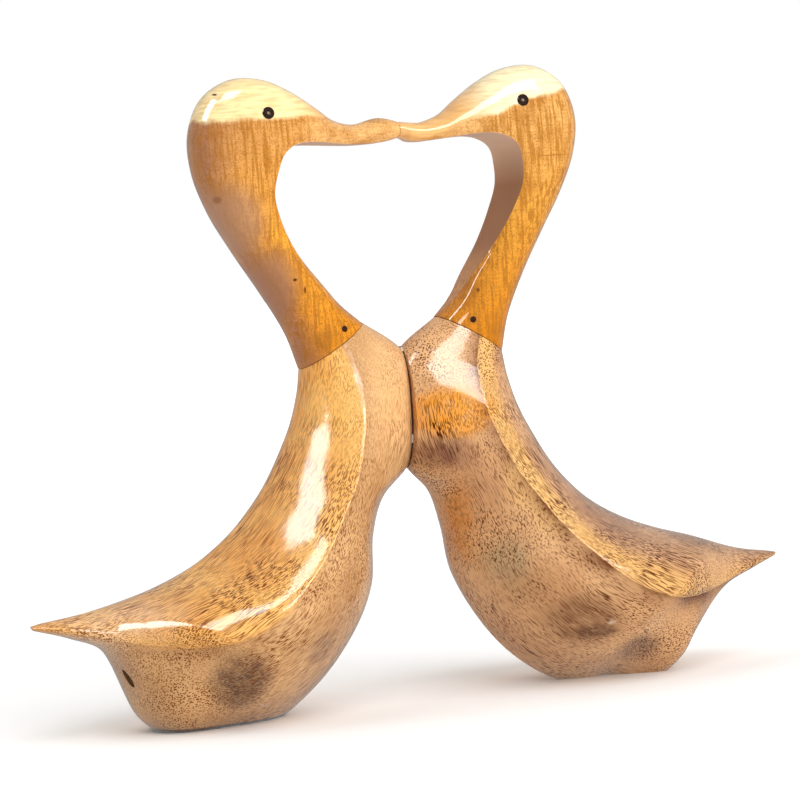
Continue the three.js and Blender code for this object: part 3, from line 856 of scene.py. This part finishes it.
for piece, node in ((left_head, "left_head"), (right_head, "right_head")):
    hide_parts(node)
    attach(piece, "root")


# Eyes
# Each is a short length of dark horn-like tube let into the cheek, polished flush with the
# lacquer, so a small core of the head's own wood shows in its middle.

EYE_X = 55.6
EYE_Z = 246.4
EYE_RING_RADIUS = 1.58
EYE_RING_THICKNESS = 0.98
EYE_FLATTEN = 0.6
CLEAR_OF_CHEEK = 60


def cheek_point(head, x, z, cheek):
    """Where a line across the head at x, z, in mm, meets the cheek, and which way the cheek faces."""
    start = STANDING @ (Vector((x, cheek * CLEAR_OF_CHEEK, z)) * MM)
    _, point, normal, _ = head.ray_cast(start, Vector((0, -cheek, 0)))
    return point, normal


def settle(piece):
    """Put a piece's place and turn into its mesh, so its object sits at the origin."""
    bpy.ops.object.select_all(action="DESELECT")
    piece.select_set(True)
    bpy.context.view_layer.objects.active = piece
    bpy.ops.object.transform_apply(location=True, rotation=True, scale=True)


def dark_horn():
    """Dark horn, polished: near black with a brown cast, and a small very sharp highlight."""
    material, tree = blank_material("polished_dark_horn")
    coords = add_node(tree, "TexCoord", out="Object")
    cloud = mottle(tree, coords, 0.8 * MM, 2.0)
    surface_finish(tree, {
        "Base Color": tint(tree, linear("#120b09"), linear("#3a261f"), cloud),
        "Roughness": 0.25,
        "Coat Weight": 1.0,
        "Coat Roughness": 0.03,
    })
    return material


horn = dark_horn()
for head, name, side in ((left_head, "left", LEFT), (right_head, "right", RIGHT)):
    for cheek, where in ((-1, "near"), (1, "far")):
        point, normal = cheek_point(head, side * EYE_X, EYE_Z, cheek)
        bpy.ops.object.select_all(action="DESELECT")
        bpy.ops.mesh.primitive_torus_add(
            major_segments=48, minor_segments=20,
            major_radius=EYE_RING_RADIUS * MM, minor_radius=EYE_RING_THICKNESS * MM,
            location=point, rotation=normal.to_track_quat("Z", "Y").to_euler(),
        )
        ring = bpy.context.object
        ring.name = f"{name}_eye_ring_{where}"
        ring.scale = (1, 1, EYE_FLATTEN)
        settle(ring)
        bpy.ops.object.shade_smooth()
        ring.data.materials.append(horn)
        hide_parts(f"{name}_eye_{where}")
        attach(ring, "root")


# Neck pegs
# A dowel end shows on the near side of each neck, just above the joint: dark end grain that the
# lacquer has flooded, sanded flush and worn round at its rim.

PEG_X = 28.2
PEG_Z = 156.8
PEG_RADIUS = 1.35
PEG_LENGTH = 8
PEG_PROUD = 0.22
PEG_WORN_RIM = 0.3


def dark_end_grain():
    """Dark dowel end grain under the same lacquer: a glossy dot, brown that is nearly black."""
    material, tree = blank_material("lacquered_dowel_end")
    cloud = mottle(tree, carved_place(tree), 0.5, 3.0)
    surface_finish(tree, {
        "Base Color": tint(tree, linear("#1e0d05"), linear("#45230e"), cloud),
        "Roughness": 0.4,
        "Coat Weight": 1.0,
        "Coat Roughness": 0.05,
    })
    return material


end_grain = dark_end_grain()
for head, name, side in ((left_head, "left", LEFT), (right_head, "right", RIGHT)):
    point, normal = cheek_point(head, side * PEG_X, PEG_Z, -1)
    bpy.ops.object.select_all(action="DESELECT")
    bpy.ops.mesh.primitive_cylinder_add(
        vertices=40, radius=PEG_RADIUS * MM, depth=PEG_LENGTH * MM,
        location=point + normal * (PEG_PROUD - PEG_LENGTH / 2) * MM,
        rotation=normal.to_track_quat("Z", "Y").to_euler(),
    )
    peg = bpy.context.object
    peg.name = f"{name}_neck_peg_end"
    settle(peg)
    rounded = peg.modifiers.new("worn_rim", "BEVEL")
    rounded.width = PEG_WORN_RIM * MM
    rounded.segments = 3
    bpy.ops.object.modifier_apply(modifier=rounded.name)
    bpy.ops.object.shade_smooth_by_angle(angle=HARD_EDGE)
    peg.data.materials.append(end_grain)
    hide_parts(f"{name}_neck_peg")
    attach(peg, "root")


# Floor and light
# A white table top runs back to a white sweep. A wide overhead bank lights the table, soft boxes
# in front, to the left and above draw the highlights in the lacquer, and two fills light the wood.

TABLE_WIDTH = 30

bpy.ops.object.select_all(action="DESELECT")
bpy.ops.mesh.primitive_plane_add(size=TABLE_WIDTH, location=(0, 0, 0))
floor = bpy.context.object
floor.name = "floor"
floor_material, floor_tree = blank_material("matt_white_paper")

# The table is overexposed away from the pair, so the paper glows faintly there: its strength grows
# between these distances in metres. The paper looks plain white, with only the pair's soft shadow.
GLOW_FROM = 0.3
GLOW_FULL = 1.5
GLOW = 0.35
floor_place = add_node(floor_tree, "TexCoord", out="Object")
from_pair = add_node(floor_tree, "VectorMath", {"operation": "LENGTH"}, {0: floor_place}, out="Value")
surface_finish(floor_tree, {
    "Base Color": linear("#fbfbfa"),
    "Roughness": 0.9,
    "Specular IOR Level": 0.1,
    "Emission Color": (1, 1, 1, 1),
    "Emission Strength": rising(floor_tree, from_pair, GLOW_FROM, GLOW_FULL, 0.0, GLOW),
})
floor.data.materials.append(floor_material)

# The table is kept out of the lacquer, where its reflection would turn the wood's colours milky
floor.visible_glossy = False

# The white sweep stands behind the pair, and the front of the studio is dim, so that only the soft
# boxes and the edges of the sweep show in the lacquer. There it loses part of its brightness, and
# to the camera it is white on every side. SWEEP_EDGES says where it begins and where it is full:
# -1 is straight in front of the pair and 1 is straight behind it.
SWEEP_EDGES = (-0.15, 0.45)
DIM_STUDIO = 0.12
FULL_STUDIO = 1.0
LOST_IN_GLOSS = 0.6
world = bpy.data.worlds.new("studio")
world.use_nodes = True
sky = world.node_tree
sky.nodes.clear()
facing = add_node(sky, "SeparateXYZ", {}, {0: add_node(sky, "TexCoord", out="Generated")}, out="Y")
sweep = rising(sky, facing, *SWEEP_EDGES, DIM_STUDIO, FULL_STUDIO, "SMOOTHSTEP")
path = add_node(sky, "LightPath").node.outputs
in_gloss = {0: path["Is Glossy Ray"], 1: -LOST_IN_GLOSS, 2: 1.0}
softened = add_node(sky, "Math", {"operation": "MULTIPLY_ADD"}, in_gloss)
dimmed = product(sky, sweep, softened)
brightness = add_node(sky, "Math", {"operation": "MAXIMUM"}, {0: dimmed, 1: path["Is Camera Ray"]})
light = add_node(sky, "Background", {}, {"Color": (1, 1, 1, 1), "Strength": brightness})
sky.links.new(light, sky.nodes.new("ShaderNodeOutputWorld").inputs["Surface"])
bpy.context.scene.world = world
bpy.context.scene.view_settings.view_transform = "Standard"

LAMP_DISTANCE = 1.6


def soft_box(name, azimuth, elevation, width, height, power, shows_in_gloss, pieces=()):
    """A rectangular studio lamp aimed at the pair, its size in metres and its power in watts.
    Azimuth 0 is straight in front, minus is left. It either draws highlights in the lacquer or
    lights the wood under it. If pieces are given, its light falls on those alone."""
    turned, raised = math.radians(azimuth), math.radians(elevation)
    direction = Vector((
        math.sin(turned) * math.cos(raised), -math.cos(turned) * math.cos(raised), math.sin(raised),
    ))
    data = bpy.data.lights.new(name, "AREA")
    data.shape = "RECTANGLE"
    data.size = width
    data.size_y = height
    data.energy = power
    lamp = bpy.data.objects.new(name, data)
    lamp.location = CAMERA_TARGET + direction * LAMP_DISTANCE
    lamp.rotation_euler = direction.to_track_quat("Z", "Y").to_euler()
    lamp.visible_glossy = shows_in_gloss
    lamp.visible_diffuse = not shows_in_gloss
    bpy.context.collection.objects.link(lamp)
    if pieces:
        lit = bpy.data.collections.new(name + "_lights")
        for piece in pieces:
            lit.objects.link(piece)
        lamp.light_linking.receiver_collection = lit


soft_box("left_highlight", -92, 46, 0.6, 0.8, 22, True)
soft_box("front_highlight", 8, 51, 1.9, 0.6, 36, True, (right_body, right_head))
soft_box("shoulder_highlight", 12, 42, 0.35, 0.4, 5, True, (left_body,))
soft_box("top_highlight", -42, 68, 0.6, 0.5, 11, True, (left_body, left_head))
soft_box("left_fill", -92, 46, 1.0, 0.9, 6, False)
soft_box("front_fill", 20, 10, 1.4, 0.6, 12, False)

# The overhead bank is so wide that its shadows are soft, and it is kept out of the lacquer
BANK_WIDTH = math.radians(68)
BANK_STRENGTH = 2.25
BANK_TURN = (math.radians(44), 0, math.radians(24))
overhead_data = bpy.data.lights.new("overhead_bank", "SUN")
overhead_data.angle = BANK_WIDTH
overhead_data.energy = BANK_STRENGTH
overhead = bpy.data.objects.new("overhead_bank", overhead_data)
overhead.rotation_euler = BANK_TURN
overhead.visible_glossy = False
bpy.context.collection.objects.link(overhead)
